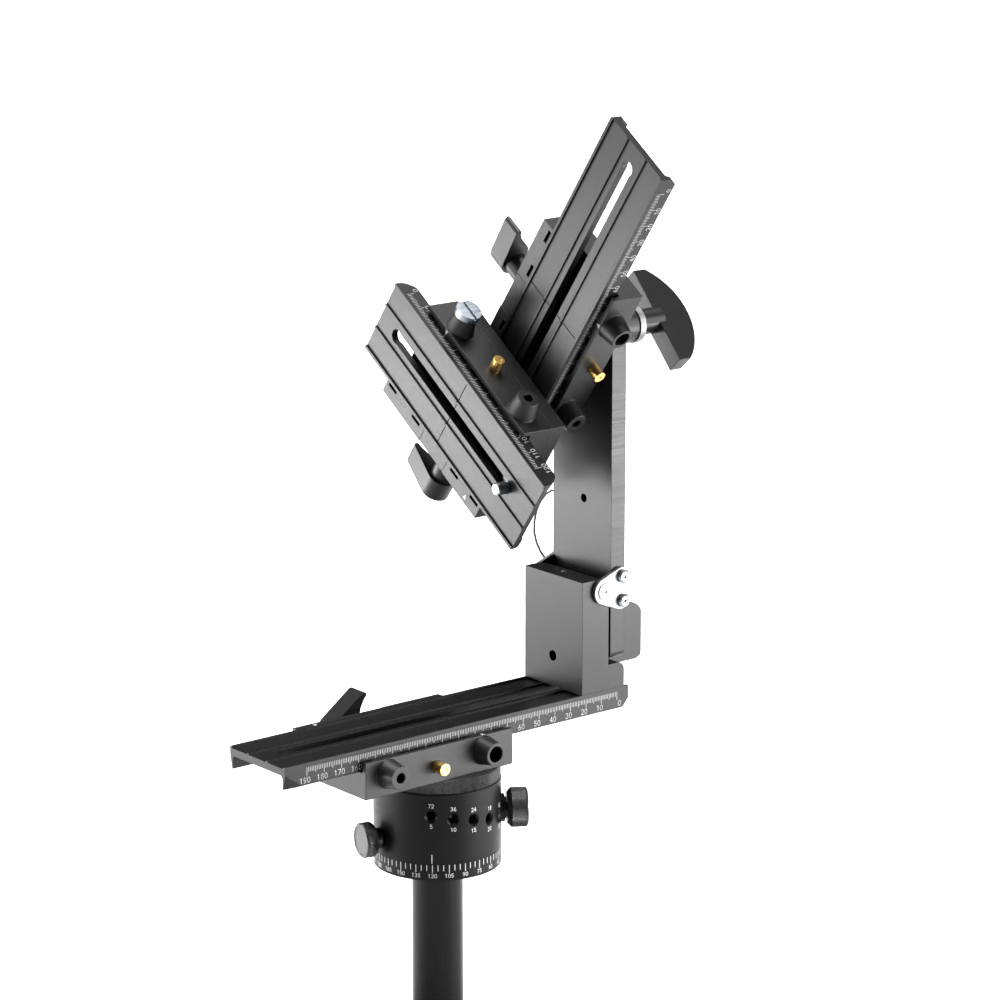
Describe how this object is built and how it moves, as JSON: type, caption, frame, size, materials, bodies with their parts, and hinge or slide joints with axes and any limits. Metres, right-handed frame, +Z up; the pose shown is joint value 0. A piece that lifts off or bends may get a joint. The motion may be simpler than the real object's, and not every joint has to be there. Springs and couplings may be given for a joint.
{
  "type": "panoramic camera head",
  "caption": "Panoramic camera head: a click-stop pan base, a folding arm with a tilt joint, and three ruled sliding plates held by lever clamps, on the top of a round column.",
  "frame": {"origin": "on the pan axis, at the top end of the column under the degree dial", "axes": "+Z up the pan axis, +X along the lower plate toward its zero mark and the arm, +Y away from the rulers"},
  "size_m": [0.2625, 0.1846, 0.4463],
  "materials": {
    "painted_column": "satin black paint on a drawn tube",
    "end_cap": "matte moulded cap",
    "bright_steel": "turned steel",
    "zinc_screw": "bright zinc plating",
    "satin_silver": "satin, fine grain",
    "dial_black": "turned and black anodised, white filled marks",
    "knurled_black": "diamond knurled, black anodised",
    "cast_black": "black powder paint on a die casting, fine texture",
    "anodised_black": "extruded and black anodised, satin",
    "lever_black": "moulded, fine texture",
    "brass": "turned, slightly dull",
    "cord_black": "sheathed cord"
  },
  "bodies": {
    "column_base": {"column": "painted_column", "column_rim": "bright_steel", "column_plug": "end_cap", "column_stud": "bright_steel", "dial": "dial_black", "spindle": "bright_steel", "spindle_nut": "bright_steel", "index_plate": "bright_steel"},
    "pan_head": {"pan_housing": "dial_black", "knurled_disc": "knurled_black", "disc_screws": "bright_steel", "plunger_bush": "satin_silver", "lower_bracket": "cast_black", "lower_bracket_screws": "bright_steel", "lower_lever_pin": "zinc_screw"},
    "index_plunger": {"index_plunger": "knurled_black"},
    "pan_knob": {"pan_knob": "knurled_black"},
    "lower_lever": {"lower_lever": "lever_black"},
    "lower_jaw": {"lower_jaw": "cast_black"},
    "lower_catch": {"lower_catch": "brass"},
    "lower_slide": {"lower_plate": "anodised_black", "block": "anodised_black", "block_screws": "bright_steel", "block_cap_screw": "bright_steel", "fold_pin": "satin_silver"},
    "arm": {"arm": "anodised_black", "hinge_cheek_front": "satin_silver", "hinge_cheek_back": "satin_silver", "hinge_screws": "zinc_screw", "lanyard": "cord_black", "tilt_bush": "anodised_black", "tilt_flange": "satin_silver"},
    "arm_wing": {"arm_wing": "lever_black"},
    "tilt_wing": {"tilt_wing": "lever_black"},
    "tilt_carrier": {"tilt_disc": "anodised_black", "tilt_bolt": "bright_steel", "tilt_bracket": "cast_black", "tilt_bracket_screws": "bright_steel", "tilt_lever_pin": "zinc_screw"},
    "tilt_lever": {"tilt_lever": "lever_black"},
    "tilt_jaw": {"tilt_jaw": "cast_black"},
    "tilt_catch": {"tilt_catch": "brass"},
    "upright_slide": {"upright_plate": "anodised_black", "spacer": "cast_black", "cross_screws": "bright_steel", "camera_bracket": "cast_black", "camera_bracket_screws": "bright_steel", "camera_lever_pin": "zinc_screw", "stored_screw": "zinc_screw"},
    "camera_lever": {"camera_lever": "lever_black"},
    "camera_jaw": {"camera_jaw": "cast_black"},
    "camera_catch": {"camera_catch": "brass"},
    "camera_slide": {"camera_plate": "anodised_black"},
    "screw_washer": {"camera_washer": "bright_steel"},
    "camera_screw": {"camera_screw": "zinc_screw"}
  },
  "joints": [
    {"name": "pan", "type": "hinge", "parent": "column_base", "child": "pan_head", "pos_m": [0, 0, 0.02], "axis": [0, 0, 1], "continuous": true},
    {"name": "index_plunger_pull", "type": "slide", "parent": "pan_head", "child": "index_plunger", "axis": [0.8387, -0.5446, 0], "range_m": [0, 0.0035], "stiffness_N_per_m": 400},
    {"name": "pan_knob_turn", "type": "hinge", "parent": "pan_head", "child": "pan_knob", "pos_m": [-0.03424, 0.00728, 0.016], "axis": [-0.9781, 0.2079, 0], "range_deg": [0, 360]},
    {"name": "lower_jaw_slide", "type": "slide", "parent": "pan_head", "child": "lower_jaw", "axis": [0, 1, 0], "range_m": [0, 0.0009]},
    {"name": "lower_lever_turn", "type": "hinge", "parent": "pan_head", "child": "lower_lever", "pos_m": [-0.0205, 0.054, 0.0566], "axis": [0, -1, 0], "range_deg": [0, 90]},
    {"name": "lower_catch_press", "type": "slide", "parent": "pan_head", "child": "lower_catch", "axis": [0, 1, 0], "range_m": [0, 0.003], "stiffness_N_per_m": 300},
    {"name": "lower_plate_slide", "type": "slide", "parent": "pan_head", "child": "lower_slide", "axis": [1, 0, 0], "range_m": [-0.06, 0.035]},
    {"name": "arm_fold", "type": "hinge", "parent": "lower_slide", "child": "arm", "pos_m": [0.0862, 0, 0.1255], "axis": [0, -1, 0], "range_deg": [0, 75]},
    {"name": "arm_wing_turn", "type": "hinge", "parent": "arm", "child": "arm_wing", "pos_m": [0.11, 0, 0.102], "axis": [1, 0, 0], "range_deg": [0, 360]},
    {"name": "tilt", "type": "hinge", "parent": "arm", "child": "tilt_carrier", "pos_m": [0.09, 0, 0.2507], "axis": [1, 0, 0], "continuous": true},
    {"name": "tilt_wing_turn", "type": "hinge", "parent": "arm", "child": "tilt_wing", "pos_m": [0.14, 0, 0.2507], "axis": [1, 0, 0], "range_deg": [0, 360]},
    {"name": "tilt_jaw_slide", "type": "slide", "parent": "tilt_carrier", "child": "tilt_jaw", "axis": [0, 0.8171, 0.5764], "range_m": [0, 0.0009]},
    {"name": "tilt_lever_turn", "type": "hinge", "parent": "tilt_carrier", "child": "tilt_lever", "pos_m": [0.0798, 0.0424, 0.28428], "axis": [0, -0.8171, -0.5764], "range_deg": [0, 90]},
    {"name": "tilt_catch_press", "type": "slide", "parent": "tilt_carrier", "child": "tilt_catch", "axis": [0, 0.8171, 0.5764], "range_m": [0, 0.003], "stiffness_N_per_m": 300},
    {"name": "upright_plate_slide", "type": "slide", "parent": "tilt_carrier", "child": "upright_slide", "axis": [0, -0.5764, 0.8171], "range_m": [-0.04, 0.03]},
    {"name": "camera_jaw_slide", "type": "slide", "parent": "upright_slide", "child": "camera_jaw", "axis": [0, 0.5764, -0.8171], "range_m": [0, 0.0009]},
    {"name": "camera_lever_turn", "type": "hinge", "parent": "upright_slide", "child": "camera_lever", "pos_m": [0.0478, 0.05882, 0.17079], "axis": [0, -0.5764, 0.8171], "range_deg": [0, 90]},
    {"name": "camera_catch_press", "type": "slide", "parent": "upright_slide", "child": "camera_catch", "axis": [0, 0.5764, -0.8171], "range_m": [0, 0.003], "stiffness_N_per_m": 300},
    {"name": "camera_plate_slide", "type": "slide", "parent": "upright_slide", "child": "camera_slide", "axis": [0, 0.8171, 0.5764], "range_m": [-0.03, 0.03]},
    {"name": "camera_screw_slide", "type": "slide", "parent": "camera_slide", "child": "screw_washer", "axis": [0, 0.8171, 0.5764], "range_m": [0, 0.095]},
    {"name": "camera_screw_turn", "type": "hinge", "parent": "screw_washer", "child": "camera_screw", "pos_m": [0.0302, -0.0148, 0.18494], "axis": [-1, 0, 0], "continuous": true}
  ],
  "couplings": [
    {"joint": "lower_lever_turn", "follows": "lower_jaw_slide", "rad_per_m": 1745},
    {"joint": "tilt_lever_turn", "follows": "tilt_jaw_slide", "rad_per_m": 1745},
    {"joint": "camera_lever_turn", "follows": "camera_jaw_slide", "rad_per_m": 1745}
  ]
}
